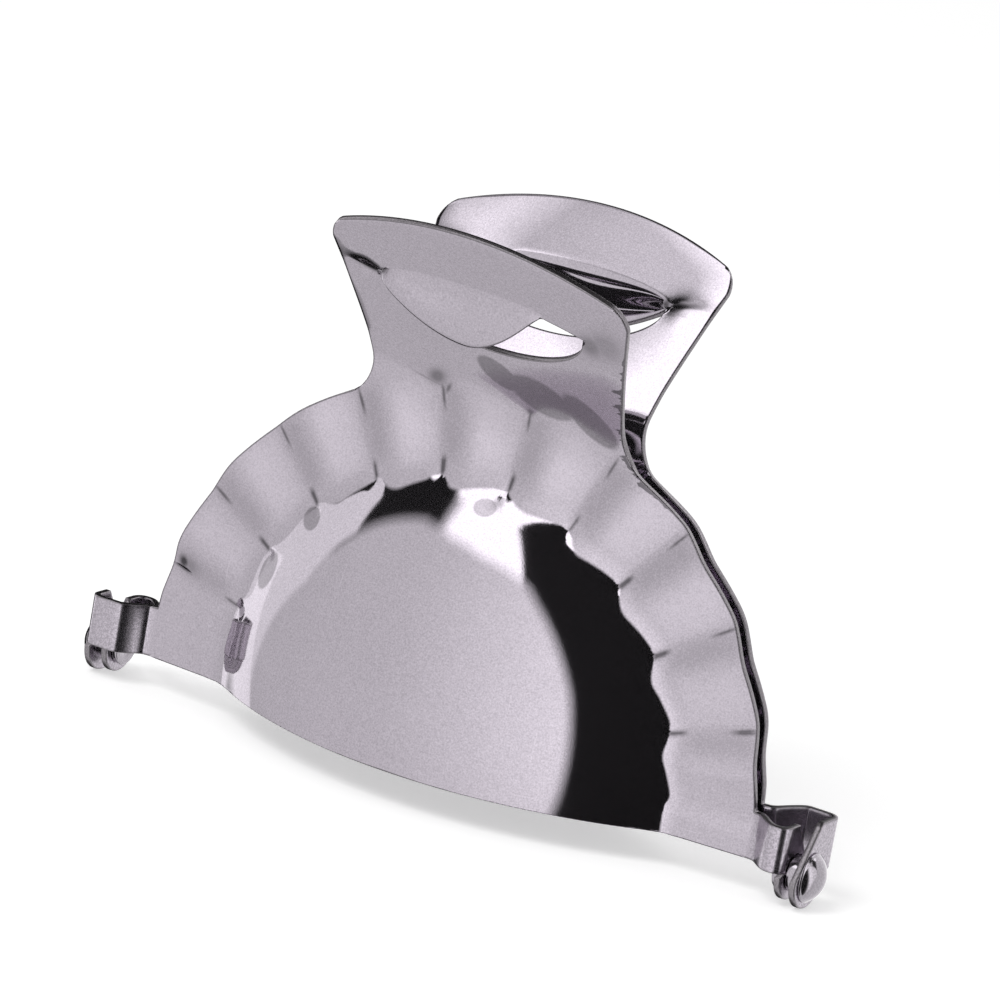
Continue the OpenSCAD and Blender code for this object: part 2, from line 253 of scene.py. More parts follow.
def scoopLift(x, z, size):  # pushed out between its fold and its lip, more squarely on the closed side
    slotHalf, tipZ, off = size["Slot Half Width"], size["Slot Tip Height"], size["Scoop Off"]
    slotShare = clamp01(1.0 - x * x / (slotHalf * slotHalf))
    closed = x < -off
    reach = size["Scoop Half Width"] + closed * (slotHalf - off - size["Scoop Half Width"])
    scoopShare = clamp01(1.0 - ((x + off) / reach) ** 2.0)
    fold = tipZ + size["Scoop Rise"] * slotShare.math("SQRT")
    slotWidth = size["Slot Width"] + size["Slot Flare"] * (1.0 - scoopShare)
    beside = tipZ + (slotWidth - size["Cut Drop"]) * slotShare.math("SQRT")
    lowest = tipZ + size["Slot Width"] - size["Cut Drop"] * (1.0 - (off / slotHalf) ** 2.0).math("SQRT")
    chord = tipZ + size["Chord Rise"] * slotShare
    opened = chord + (lowest - chord) * scoopShare
    lip = opened + closed * (beside - opened)
    v = most(fold - z, 0.0) / most(fold - lip, 0.001)
    rounding = size["Scoop Round"] + closed * (size["Closed Round"] - size["Scoop Round"])
    eased = v * v * (1.0 + pressing["scoopEase"]) / (v + pressing["scoopEase"])
    bent = 1.0 - most(blendUp(1.0 - eased / size["Scoop Bend"], 0.0, pressing["scoopSoft"]), 0.0)
    soft = (1.0 - closed) * (1.0 - scoopShare)
    profile = most(bent + (v * v * (2.0 - v) - bent) * soft, 0.0)
    return size["Scoop Push"] * scoopShare ** rounding * profile


def pressTree():  # presses a flat blank: dome, pleated rim, leaning handle and scoop
    tree = bpy.data.node_groups.new("press form", "GeometryNodeTree")
    tree.interface.new_socket("Geometry", in_out="INPUT", socket_type="NodeSocketGeometry")
    tree.interface.new_socket("Geometry", in_out="OUTPUT", socket_type="NodeSocketGeometry")
    for name, value in plate.items():
        tree.interface.new_socket(name, in_out="INPUT", socket_type="NodeSocketFloat").default_value = value
    tree.interface.new_socket("Steel", in_out="INPUT", socket_type="NodeSocketMaterial")
    graph = Graph(tree)
    entry = graph.node("NodeGroupInput").socket.node
    size = {s.name: Value(graph, s) for s in entry.outputs if s.name}

    def stored(name, kind="FLOAT"):
        return graph.node("GeometryNodeInputNamedAttribute", {"data_type": kind}, {"Name": name})

    x, _, z = graph.split(stored("plan", "FLOAT_VECTOR"))
    r, angle, low, high = rimPlace(x, z, size)

    # pleats on the sloping rim: they fade past its edge and run on, lower, into the bowl
    rimR, bowlR = size["Rim Radius"], size["Bowl Radius"]
    slope = least(most(rimR - r, 0.0) / (rimR - bowlR), pressing["slopeLimit"])
    fade = clamp01(1.0 - (r - rimR) / size["Pleat Fade"])
    inner = size["Bowl Pleat Share"]
    fade = fade * (inner + (1.0 - inner) * clamp01((r - bowlR) / (rimR - bowlR)))
    share = pleatShare(angle, low, high, size)
    rim = size["Half Gap"] + size["Rim Rise"] * slope + size["Pleat Height"] * share * fade

    depth = size["Bowl Depth"]
    domeR = (bowlR * bowlR + depth * depth) / (2.0 * depth)
    bowlTop = size["Half Gap"] + size["Rim Rise"] + depth
    dome = bowlTop - domeR + most(domeR * domeR - r * r, 0.0).math("SQRT")
    leanZ = size["Centre Height"] + rimR - size["Lean Inset"]
    handle = (z - leanZ) * (size["Lean"] * (math.pi / 180)).math("TANGENT")
    height = blendUp(blendUp(dome, rim, size["Bowl Soft"]), handle, size["Lean Soft"])

    # small dents where the press caught the sheet, at the creases' inner ends and at the places listed
    across = acrossCrease(r, angle, low, high, size)
    caught = bell(across, pressing["dentAcross"]) * bell(r - size["Dent Radius"], pressing["dentAlong"])
    height = height - size["Dent Depth"] * caught
    for place, reach, turn, depth in dents:
        height = height - spot(x, z, place, reach, turn) * depth
    height = height + stored("scooped") * scoopLift(x, z, size)

    earShare = stored("earShare")
    px, py, pz = graph.split(graph.node("GeometryNodeInputPosition"))
    y = py * earShare - height * (1.0 - earShare)
    footRise = pz - stored("footHeight")
    skew = size["Skew"] * clamp01(footRise / size["Skew Run"])
    place = graph.node("ShaderNodeCombineXYZ", {}, {0: px + skew * footRise, 1: y, 2: pz - skew * px})
    moved = graph.node("GeometryNodeSetPosition", {}, {"Geometry": size["Geometry"], "Position": place})
    real = graph.node("GeometryNodeRealizeInstances", {}, {0: moved})
    graph.end("NodeGroupOutput", graph.node("GeometryNodeSetMaterial", {}, {
        "Geometry": real, "Material": size["Steel"]}))
    return tree


def mix(a, b, t):
    return a * (1 - t) + b * t


def smoothShare(t):
    return t * t * (3 - 2 * t)


class Blank:  # the flat stamping: points, faces and what the press needs to know at each point
    def __init__(self):
        self.points, self.plans, self.scooped, self.ear, self.faces = [], [], [], [], []

    def add(self, x, z, y=0.0, plan=None, scooped=0.0, ear=0.0):
        self.points.append((x, y, z))
        self.plans.append(plan or (x, 0.0, z))
        self.scooped.append(scooped)
        self.ear.append(ear)
        return len(self.points) - 1

    def grid(self, rows, closed=False):  # quads between rows of point numbers
        for a, b in zip(rows, rows[1:]):
            count = len(a) if closed else len(a) - 1
            for i in range(count):
                j = (i + 1) % len(a)
                self.faces.append((a[i], a[j], b[j], b[i]))


# flat sheet: outline and thickness in mm, and how finely the blank is divided
sheet = {
    "thickness": 0.8, "edgeRound": 0.12, "edgeGap": 0.2,
    "rollWidth": 2.6, "rollDepth": (0.14, 0.02), "rollHeights": (42, 46),
    "neckHalfWidth": 16.4, "topHalfWidth": 19.2, "cornerHeight": 59.4, "topRise": 3.7,
    "cornerRadius": 3.0, "sideFlare": 1.3, "footAngle": 61.7,
    "gentleSteps": 14, "steepSteps": 10, "startRays": 10, "endRays": 25,
    "bowlRings": 44, "rimRings": 21, "edgeRing": 0.28, "kneeInset": 1.2, "ringSpread": 0.9,
    "lowRows": 28, "foldRows": 14, "highRows": 32, "tipColumns": 12, "bottomStep": 0.7,
    "slitEven": 0.65, "tipFold": 0.05,
}


def rimOutline():  # angles of the rays, the numbers of those at the handle's feet, and the drop to the base
    rimR, pleats = plate["Rim Radius"], int(plate["Pleats"])
    pitch, steep, trim = plate["Pleat Pitch"], plate["Pleat Steep"], plate["End Trim"]
    first = (180 - (pleats + 1) * pitch + steep) / 2
    creases = [first + k * pitch + trim * (k == 0) - trim * (k == pleats) for k in range(pleats + 1)]
    drop = plate["Centre Height"] - sheet["edgeGap"]
    cornerA = math.degrees(math.atan(drop / rimR))
    steps = np.concatenate([
        np.linspace(0, 1 - steep / pitch, sheet["gentleSteps"], endpoint=False),
        np.linspace(1 - steep / pitch, 1, sheet["steepSteps"], endpoint=False)])
    angles = list(np.linspace(-cornerA, creases[0], sheet["startRays"], endpoint=False))
    footPleat = round((sheet["footAngle"] - first + steep) / pitch) - 1
    footRay = len(angles) + len(steps) * footPleat + sheet["gentleSteps"]
    lastFoot = len(angles) + len(steps) * (pleats - footPleat)
    for k in range(pleats):
        angles += list(mix(creases[k], creases[k + 1], steps))
    angles += list(np.linspace(creases[-1], 180 + cornerA, sheet["endRays"]))
    for height, side in ((ears["innerHeight"], 1), (ears["height"], -1)):  # rays at the strips' top edges
        top = math.degrees(math.asin((height - drop) / rimR))
        top = top if side > 0 else 180 - top
        nearest = min(range(len(angles)), key=lambda i: abs(angles[i] - top))
        angles[nearest] = top
    count = int(2 * rimR / sheet["bottomStep"])
    for x in np.linspace(-rimR, rimR, count + 1)[1:-1]:
        angles.append(360 + math.degrees(math.atan2(-drop, x)))
    return angles, footRay, lastFoot, drop


def addPlate(blank, angles, rays, drop):  # rings out to the rim and the straight bottom edge
    rimR, bowlR, centreZ = plate["Rim Radius"], plate["Bowl Radius"], plate["Centre Height"]
    bowl, rim = sheet["bowlRings"], sheet["rimRings"]
    hub = blank.add(0.0, centreZ)
    rings = []
    for j in range(1, bowl + rim + 1):
        ring = []
        for angle, ray in zip(angles, rays):
            reach = rimR if 0 <= angle <= 180 else min(drop / abs(math.sin(ray)), rimR / abs(math.cos(ray)))
            knee = min(bowlR, reach - sheet["kneeInset"])
            if j <= bowl:
                r = knee * (j / bowl) ** sheet["ringSpread"]
            elif j < bowl + rim:
                r = mix(knee, reach - sheet["edgeRing"], (j - bowl) / (rim - 1))
            else:
                r = reach
            ring.append(blank.add(r * math.cos(ray), centreZ + r * math.sin(ray)))
        rings.append(ring)
    for i in range(len(angles)):
        blank.faces.append((hub, rings[0][(i + 1) % len(angles)], rings[0][i]))
    blank.grid(rings, closed=True)
    return rings[-1]


class HandleOutline:  # neck fillet, flared side, round corner and arched top
    def __init__(self, footA):
        rimR, centreZ = plate["Rim Radius"], plate["Centre Height"]
        self.footX, self.footZ = rimR * math.cos(footA), centreZ + rimR * math.sin(footA)
        self.fillet = (self.footX - sheet["neckHalfWidth"]) / (1 - math.cos(footA))
        self.neckZ = centreZ + (rimR + self.fillet) * math.sin(footA)
        half, rise, self.corner = sheet["topHalfWidth"], sheet["topRise"], sheet["cornerRadius"]
        self.topR = (half ** 2 + rise ** 2) / (2 * rise)
        slope = half / (self.topR - rise)
        self.cornerX = half - self.corner
        self.cornerZ = sheet["cornerHeight"] + slope * self.corner - self.corner * math.hypot(1, slope)
        self.topEnd = self.cornerX + self.corner * math.sin(math.atan(slope))
        middleA = math.radians((90 - math.degrees(math.atan(slope))) / 2)
        self.cornerTop = self.cornerZ + self.corner * math.sin(middleA)

    def side(self, z):
        if z < self.neckZ:
            inset = math.sqrt(max(self.fillet ** 2 - (self.neckZ - z) ** 2, 0))
            return sheet["neckHalfWidth"] + self.fillet - inset
        if z < self.cornerZ:
            share = ((z - self.neckZ) / (self.cornerZ - self.neckZ)) ** sheet["sideFlare"]
            return mix(sheet["neckHalfWidth"], sheet["topHalfWidth"], share)
        return self.cornerX + math.sqrt(max(self.corner ** 2 - (z - self.cornerZ) ** 2, 0))

    def top(self, x):
        if abs(x) < self.topEnd:
            return sheet["cornerHeight"] + sheet["topRise"] - self.topR + math.sqrt(self.topR ** 2 - x * x)
        return self.cornerZ + math.sqrt(max(self.corner ** 2 - (abs(x) - self.cornerX) ** 2, 0))


def slotShare(x):
    return min(max(1 - (x / plate["Slot Half Width"]) ** 2, 0), 1)


def foldZ(x):
    return plate["Slot Tip Height"] + plate["Scoop Rise"] * math.sqrt(slotShare(x))


def cutZ(x):
    return plate["Slot Tip Height"] - plate["Cut Drop"] * math.sqrt(slotShare(x))


def lipZ(x):
    off, slotWidth = plate["Scoop Off"], plate["Slot Width"]
    if x < -off:
        flare = plate["Slot Flare"] * ((x + off) / (plate["Slot Half Width"] - off)) ** 2
        return cutZ(x) + (slotWidth + flare) * math.sqrt(slotShare(x))
    share = max(1 - ((x + off) / plate["Scoop Half Width"]) ** 2, 0)
    chord = plate["Slot Tip Height"] + plate["Chord Rise"] * slotShare(x)
    return mix(chord, cutZ(-off) + slotWidth, share)


def addHandle(blank, edge, rays, footRay, lastFoot):  # low rows up to the cut, then the scoop and the tip
    rimR, centreZ = plate["Rim Radius"], plate["Centre Height"]
    tipZ, slotHalf = plate["Slot Tip Height"], plate["Slot Half Width"]
    outline = HandleOutline(rays[footRay])
    columns, tip = lastFoot - footRay, sheet["tipColumns"]

    def slitX(c):
        if c <= tip:
            return mix(outline.side(tipZ), slotHalf, c / tip)
        if c >= columns - tip:
            return -slitX(columns - c)
        share, even = (c - tip) / (columns - 2 * tip), sheet["slitEven"]
        return slotHalf * math.cos(math.pi * share) * (1 - even) + even * slotHalf * (1 - 2 * share)

    rows = [edge[footRay:lastFoot + 1]]
    for r in range(1, sheet["lowRows"] + 1):
        t = r / sheet["lowRows"]
        row = []
        for c in range(columns + 1):
            ray, x1 = rays[footRay + c], slitX(c)
            reach = mix(rimR * math.cos(ray) / outline.footX, x1 / outline.side(tipZ), t)
            x = outline.side(mix(outline.footZ, tipZ, t)) * reach
            row.append(blank.add(x, mix(centreZ + rimR * math.sin(ray), cutZ(x1), t)))
        rows.append(row)
    blank.grid(rows)
    lip = [n if c <= tip or c >= columns - tip else blank.add(slitX(c), lipZ(slitX(c)), scooped=1.0)
           for c, n in enumerate(rows[-1])]
    rows = [lip]
    fold, high = sheet["foldRows"], sheet["highRows"]
    for r in range(1, high + 1):
        row = []
        for c in range(columns + 1):
            x0, edgeC = slitX(c), min(c, columns - c)
            x = x0 / outline.side(tipZ) * outline.side(mix(tipZ, outline.cornerTop, r / high))
            top = outline.top(x0 / outline.side(tipZ) * outline.side(outline.cornerTop))
            if edgeC <= tip:
                knee = mix(fold / high, sheet["tipFold"], edgeC / tip)
                share = knee * r / fold if r <= fold else mix(knee, 1, (r - fold) / (high - fold))
                row.append(blank.add(x, mix(tipZ, top, share), scooped=1.0))
            elif r <= fold:
                row.append(blank.add(x0, mix(lipZ(x0), foldZ(x0), r / fold), scooped=1.0))
            else:
                row.append(blank.add(x, mix(foldZ(x), top, (r - fold) / (high - fold)), scooped=1.0))
        rows.append(row)
    blank.grid(rows)
    return outline.footZ


# ears, in mm and degrees, and how finely they are divided
ears = {
    "lobe": 3.6, "innerLobe": 3.2, "height": 6.0, "innerHeight": 5.4, "faceX": 47.2, "gap": 1.3,
    "frontOut": 3.8, "rearOut": 5.2, "innerOut": 3.2, "foldRadius": 1.1, "slantDistance": 2.8,
    "slantAngle": 34.0, "holeRadius": 1.55, "lead": 0.6, "swing": 3.2, "leadShare": 0.4, "swingShare": 1.2,
    "swingSteps": 14, "foldSteps": 8, "faceRings": 8, "ringSpread": 0.8,
    "topPoints": 8, "slantPoints": 14, "lobePoints": 40,
}
innerEarX = ears["faceX"] - sheet["thickness"] - ears["gap"]


def earFace(heights, out, height, lobe):  # outline (y, z): fold, top, slanted cut and lobe round the rivet
    foldY, top = out - ears["foldRadius"], sheet["edgeGap"] + height
    slant = math.radians(ears["slantAngle"])
    cutTopY = (ears["slantDistance"] - top * math.sin(slant)) / math.cos(slant)
    outline = [(-foldY, z) for z in heights]
    outline += [(y, top) for y in np.linspace(-foldY, cutTopY, ears["topPoints"])[1:]]
    meet = slant - math.acos(ears["slantDistance"] / lobe)
    end = (lobe * math.cos(meet), lobe * math.sin(meet))
    for t in np.linspace(0, 1, ears["slantPoints"])[1:]:
        outline.append((mix(cutTopY, end[0], t), mix(top, end[1], t)))
    bottomA = -math.pi - math.asin(-sheet["edgeGap"] / lobe)
    for a in np.linspace(meet, bottomA, ears["lobePoints"])[1:]:
        outline.append((lobe * math.cos(a), lobe * math.sin(a)))
    return outline


def addEar(blank, edge, rays, corner, side, faceX, out, height, lobe):
    # a strip from the plate's side, folded into a face with the rivet's hole
    rimR, centreZ = plate["Rim Radius"], plate["Centre Height"]
    gap, fold = sheet["edgeGap"], ears["foldRadius"]
    root = []
    i = corner
    while centreZ + rimR * math.sin(rays[i]) <= gap + height + 0.001:
        root.append(i)
        i += side
    heights = [gap if n == 0 else centreZ + rimR * math.sin(rays[i]) for n, i in enumerate(root)]
    rootOut = plate["Half Gap"] + plate["End Share"] * plate["Pleat Height"]
    path = [(rimR + ears["lead"] * t, rootOut, t * ears["leadShare"]) for t in (0.5, 1)]
    for t in np.linspace(0, 1, ears["swingSteps"] + 1)[1:]:
        path.append((rimR + ears["lead"] + ears["swing"] * t, mix(rootOut, out, smoothShare(t)),
                     min(ears["leadShare"] + ears["swingShare"] * t, 1)))
    for a in np.radians(np.linspace(-90, 0, ears["foldSteps"] + 1)):
        path.append((faceX - fold + fold * math.cos(a), out - fold - fold * math.sin(a), 1))
    rows = [[edge[i] for i in root]]
    for x, y, share in path:
        row = []
        for n, z in zip(root, heights):
            plan = (side * rimR * abs(math.cos(rays[n])), 0.0, z)
            row.append(blank.add(side * x, z, -y, plan, ear=smoothShare(share)))
        rows.append(row)
    blank.grid(rows if side > 0 else [r[::-1] for r in rows])

    outline = earFace(heights, out, height, lobe)
    last = rows[-1]
    rings = [last + [blank.add(side * faceX, z, y, ear=1.0) for y, z in outline[len(last):]]]
    for t in np.linspace(0, 1, ears["faceRings"] + 1)[1:]:
        ring = []
        for y, z in outline:
            shrink = mix(1, ears["holeRadius"] / math.hypot(y, z), t ** ears["ringSpread"])
            ring.append(blank.add(side * faceX, z * shrink, y * shrink, ear=1.0))
        rings.append(ring)
    blank.grid(rings if side > 0 else [r[::-1] for r in rings], closed=True)


def makeBlank(outerOut):
    blank = Blank()
    angles, footRay, lastFoot, drop = rimOutline()
    rays = [math.radians(a) for a in angles]
    edge = addPlate(blank, angles, rays, drop)
    footZ = addHandle(blank, edge, rays, footRay, lastFoot)
    cornerA = 180.001 + math.degrees(math.atan(drop / plate["Rim Radius"]))
    farCorner = max(i for i, a in enumerate(angles) if a <= cornerA)
    addEar(blank, edge, rays, 0, 1, innerEarX, ears["innerOut"], ears["innerHeight"], ears["innerLobe"])
    addEar(blank, edge, rays, farCorner, -1, ears["faceX"], outerOut, ears["height"], ears["lobe"])
    return blank, footZ


def boundaryLoops(faces):  # edges with one face, each as a loop with the steel on its left
    edges = dict.fromkeys(edge for face in faces for edge in zip(face, face[1:] + face[:1]))
    following = {a: b for a, b in edges if (b, a) not in edges}
    loops = []
    while following:
        a = next(iter(following))
        loop = []
        while a in following:
            loop.append(a)
            a = following.pop(a)
        loops.append(loop)
    return loops


def thicken(points, normals, faces, half):  # both faces of the sheet, joined by rounded edges
    outer = 0 if normals[0][1] < 0 else 1  # which of the half thicknesses lies on the normals' side
    soft = sheet["edgeRound"]
    count = len(points)
    loops = boundaryLoops(faces)
    outwards = np.zeros_like(points)
    for loop in loops:
        ahead = points[np.roll(loop, -1)] - points[np.roll(loop, 1)]
        sideways = np.cross(ahead, normals[loop])
        outwards[loop] = sideways / np.maximum(np.linalg.norm(sideways, axis=1, keepdims=True), 1e-9)
    inset = points - outwards * soft
    verts = [inset + normals * half[outer], inset - normals * half[1 - outer]]
    newFaces = [tuple(f) for f in faces] + [tuple(n + count for n in reversed(f)) for f in faces]
    rimFaces = []
    total = 2 * count
    bend = soft * (1 - math.sqrt(0.5))
    for loop in loops:
        p, n, e = points[loop], normals[loop], outwards[loop]
        rows = [np.array(loop)]
        for side, under, back in ((1, bend, bend), (1, soft, 0), (-1, soft, 0), (-1, bend, bend)):
            reach = half[outer if side > 0 else 1 - outer][loop]
            verts.append(p - e * back + n * side * (reach - under))
            rows.append(total + np.arange(len(loop)))
            total += len(loop)
        rows.append(np.array(loop) + count)
        for a, b in zip(rows, rows[1:]):
            for i in range(len(loop)):
                j = (i + 1) % len(loop)
                rimFaces.append((int(a[j]), int(a[i]), int(b[i]), int(b[j])))
    return np.vstack(verts), newFaces, rimFaces, loops


def edgeDistances(points, loops):  # from each point to the nearest cut edge, and to the outline alone, in mm
    found = []
    for rim in (np.vstack([points[l] for l in loops]), points[max(loops, key=len)]):
        parts = np.array_split(points, 40)  # a part at a time, to spare memory
        found.append(np.concatenate([np.sqrt(((p[:, None] - rim) ** 2).sum(-1)).min(1) for p in parts]))
    return found


def newMesh(name, points, faces):
    mesh = bpy.data.meshes.new(name)
    mesh.from_pydata([tuple(p) for p in points], [], faces)
    return mesh


def addAttribute(mesh, name, values):  # a number or a vector at each point
    values = np.array(values, np.float32)
    kind, field = ("FLOAT_VECTOR", "vector") if values.ndim > 1 else ("FLOAT", "value")
    mesh.attributes.new(name, kind, "POINT").data.foreach_set(field, values.ravel())


def linked(name, mesh):
    piece = bpy.data.objects.new(name, mesh)
    bpy.context.scene.collection.objects.link(piece)
    return piece


def pressBlank(piece, blank, footZ, tree, steel):  # the pressed middle surface and its normals
    for name, values in (("plan", blank.plans), ("scooped", blank.scooped), ("earShare", blank.ear),
                         ("footHeight", [footZ] * len(blank.ear))):
        addAttribute(piece.data, name, values)
    press = piece.modifiers.new("press form", "NODES")
    press.node_group = tree
    for item in tree.interface.items_tree:
        if item.in_out == "INPUT" and item.name in plate:
            press[item.identifier] = plate[item.name]
        if item.in_out == "INPUT" and item.name == "Steel":
            press[item.identifier] = steel
    bpy.context.view_layer.update()
    graph = bpy.context.evaluated_depsgraph_get()
    pressed = bpy.data.meshes.new_from_object(
        piece.evaluated_get(graph), preserve_all_data_layers=True, depsgraph=graph)
    piece.modifiers.clear()
    points = np.empty(len(pressed.vertices) * 3)
    pressed.vertices.foreach_get("co", points)
    return points.reshape(-1, 3), np.array([v.normal[:] for v in pressed.vertices])


def makeSheet(name, outerOut, turned, tree, steel, cutSteel):
    blank, footZ = makeBlank(outerOut)
    distance, outlineDistance = edgeDistances(np.array(blank.points), boundaryLoops(blank.faces))
    piece = linked(name, newMesh(name + " blank", blank.points, blank.faces))
    points, normals = pressBlank(piece, blank, footZ, tree, steel)
    rollFrom, rollFull = sheet["rollHeights"]
    raised = np.clip((np.array(blank.plans)[:, 2] - rollFrom) / (rollFull - rollFrom), 0, 1)
    roll = np.clip(1 - outlineDistance / sheet["rollWidth"], 0, 1) ** 2 * raised
    half = [(sheet["thickness"] / 2 - depth * roll)[:, None] for depth in sheet["rollDepth"]]
    verts, faces, rimFaces, loops = thicken(points, normals, blank.faces, half)
    turn = -1 if turned else 1
    mesh = newMesh(name, verts * (turn, turn, 1) * mm + (0, 0, hingeHeight * mm), faces + rimFaces)

    rimZeros = np.zeros(len(verts) - 2 * len(points))
    rimPlans = np.vstack([np.array(blank.plans)[l] for l in loops for _ in range(4)])
    first = float(normals[0][1] < 0)  # 1 where the first face made is the outer one
    outer = [np.full(len(points), first), np.full(len(points), 1 - first), rimZeros]
    addAttribute(mesh, "edgeDistance", np.concatenate([distance, distance, rimZeros]))
    addAttribute(mesh, "earShare", np.concatenate([blank.ear, blank.ear, rimZeros]))
    addAttribute(mesh, "outerFace", np.concatenate(outer))
    addAttribute(mesh, "plan", np.vstack([blank.plans, blank.plans, rimPlans]))
    mesh.materials.append(steel)
    mesh.materials.append(cutSteel)
    mesh.polygons.foreach_set("material_index", [0] * len(faces) + [1] * len(rimFaces))
    mesh.polygons.foreach_set("use_smooth", [True] * len(mesh.polygons))
    mesh.update()
    piece.data = mesh
    print(name, "pressed:", len(mesh.polygons), "faces,", len(loops), "cut edges")
    return piece


# rivet, in mm
rivet = {
    "shank": 1.5, "shoulder": 2.2, "tail": 2.2, "tailHeight": 0.7, "head": 2.9, "headHeight": 1.7,
    "play": 0.1, "round": 0.14, "dimple": 0.28, "dimpleRadius": 1.2,
    "segments": 72, "roundPoints": 6, "dimplePoints": 7, "domePoints": 22,
}


def rivetProfile():  # points (along the hinge, radius) from the tail's middle to the head's top
    soft, half = rivet["round"], sheet["thickness"] / 2
    tailEnd = innerEarX - half - rivet["play"]
    start = tailEnd - rivet["tailHeight"]
    shoulder = (innerEarX + half + rivet["play"], ears["faceX"] - half)
    seat = ears["faceX"] + half

    def arc(cx, cr, first, last, radius=soft, count=rivet["roundPoints"]):
        angles = np.radians(np.linspace(first, last, count))
        return [(cx + radius * math.cos(a), cr + radius * math.sin(a)) for a in angles]

    dimpleR = rivet["dimpleRadius"]
    points = []
    for r in np.linspace(0, dimpleR, rivet["dimplePoints"]):
        points.append((start + rivet["dimple"] * (1 - (r / dimpleR) ** 2), r))
    points += arc(start + soft, rivet["tail"] - soft, 180, 90)
    points += arc(tailEnd - soft, rivet["tail"] - soft, 90, 0)
    points += [(tailEnd, rivet["shank"]), (shoulder[0], rivet["shank"])]
    points += arc(shoulder[0] + soft, rivet["shoulder"] - soft, 180, 90)
    points += arc(shoulder[1] - soft, rivet["shoulder"] - soft, 90, 0)
    points += [(shoulder[1], rivet["shank"]), (seat, rivet["shank"])]
    points += arc(seat + soft, rivet["head"] - soft, 180, 60)
    domeR = (rivet["head"] ** 2 + rivet["headHeight"] ** 2) / (2 * rivet["headHeight"])
    middle = seat + rivet["headHeight"] - domeR
    startA = math.degrees(math.acos((points[-1][0] - middle) / domeR))
    points += arc(middle, 0, startA - 2, 0, domeR, rivet["domePoints"])
    points[-1] = (points[-1][0], 0.0)
    return points


def makeRivet(name, side, steel):  # its profile turned about the hinge line
    count = rivet["segments"]
    verts, faces, rings = [], [], []
    for x, r in rivetProfile():
        first = len(verts)
        pole = r < 1e-6
        rings.append([first] * count if pole else list(range(first, first + count)))
        for i in range(1 if pole else count):
            a = 2 * math.pi * i / count
            verts.append(((side * x) * mm, r * math.cos(a) * mm, (hingeHeight + r * math.sin(a)) * mm))
    for a, b in zip(rings, rings[1:]):
        for i in range(count):
            j = (i + 1) % count
            face = list(dict.fromkeys((a[i], a[j], b[j], b[i])))
            faces.append(face if side > 0 else face[::-1])
    mesh = newMesh(name, verts, faces)
    mesh.materials.append(steel)
    mesh.polygons.foreach_set("use_smooth", [True] * len(mesh.polygons))
    mesh.update()
    return linked(name, mesh)


# steel: colours, roughness, and the scales, strengths and depths of its patterns
finish = {
    "tint": (0.490, 0.449, 0.503), "edgeTint": (0.27, 0.25, 0.27), "rivetTint": (0.43, 0.40, 0.44),
    "metallic": 0.97, "rough": 0.05, "earRough": 0.24, "cutRough": 0.32, "rivetRough": 0.12,
    "grain": 5200.0, "blotch": 70.0, "waves": 26.0, "earGrain": 2600.0,
    "lines": ((160.0, (1, 1, 22), 0.70), (150.0, (24, 1, 1), 0.71)),  # scale, stretch and where they start
    "grainLight": 1.75, "cutGrainShare": 2.2, "blotchLight": 0.3, "lineLight": 0.35, "lineSharp": 8.0,
    "blotchStart": 0.55, "blotchSharp": 3.0, "blotchRough": 0.03, "earLight": 2.4, "earShade": 0.12,
    # the last share here gives the colour of the painted shade at the marks
    "darkest": 0.8, "lightest": 1.2, "paintedShadeTint": 0.12,  # shares of the tint
    "grainDepth": 1e-6, "waveDepth": 3e-5, "pinchDepth": 6e-5,  # metres
}
# what the press left, in plan sizes: pinched lines at the rim and hooks at the bowl, dented and darkened with
# painted shade, painted shade along the cut edges, ragged where a burr is, and painted light and shade on the
# flutes
marks = {
    "pinchWidth": 0.24, "pinchWander": 0.5, "pinchRadii": (37.2, 39.9, 1.6), "pinchPaintedShade": 0.75,
    "hookWidth": 0.34, "hookWander": 1.2, "hookRadii": (29.2, 31.4, 1.0), "hookPaintedShade": 0.85,
    "burr": 900.0, "burrStretch": (0.25, 0.25, 1), "burrStart": 0.46, "burrLength": 6.0,
    "burrHeights": (37.0, 52.0, 5.0), "burrFrom": 12.0,
    # painted shade along the cut edges: its width, softness and darkness
    "edgeWidth": 0.2, "edgeSoft": 0.14, "edgePaintedShade": 0.75,
    # painted light and shade on the flutes: where, how wide and how strong, and over which radii
    "paintedFluteLight": (0.66, 0.25, 0.32), "paintedFluteShade": (0.2, 0.17, 0.42), "paintedFluteRadii": (31.5, 39.6, 2.4),
    "dentShadeFill": 1.2, "dentShadeGrain": 0.8, "patchEdge": 0.37, "patchSharp": 8.0,
    "plateAngles": (8.0, 180.0), "earRub": 1.4, "earLoss": 0.6, "markRough": 0.12,
}
# place, half sizes, turn and darkness of painted shade in and beside the dents
paintedDentShade = [
    ((-7.8, 43.4), (1.3, 0.85), 30, 0.6),
    ((-8.6, 42.6), (2.2, 0.16), -12, 0.4),
    ((-6.3, 42.3), (0.25, 0.8), -30, 0.6),
    ((4.4, 42.6), (0.5, 0.45), 0, 0.55),
    ((13.9, 54.2), (1.5, 1.3), 0, 0.5),
    ((16.0, 54.8), (2.4, 1.8), 0, 0.32),
    ((-14.6, 55.0), (1.7, 0.36), -8, 0.8),
    ((-12.6, 54.9), (0.6, 0.5), 0, 0.85),
    ((-37.4, 12.7), (0.7, 0.8), 0, 0.95),
    ((-36.5, 12.5), (1.4, 1.1), -15, 0.34),
]
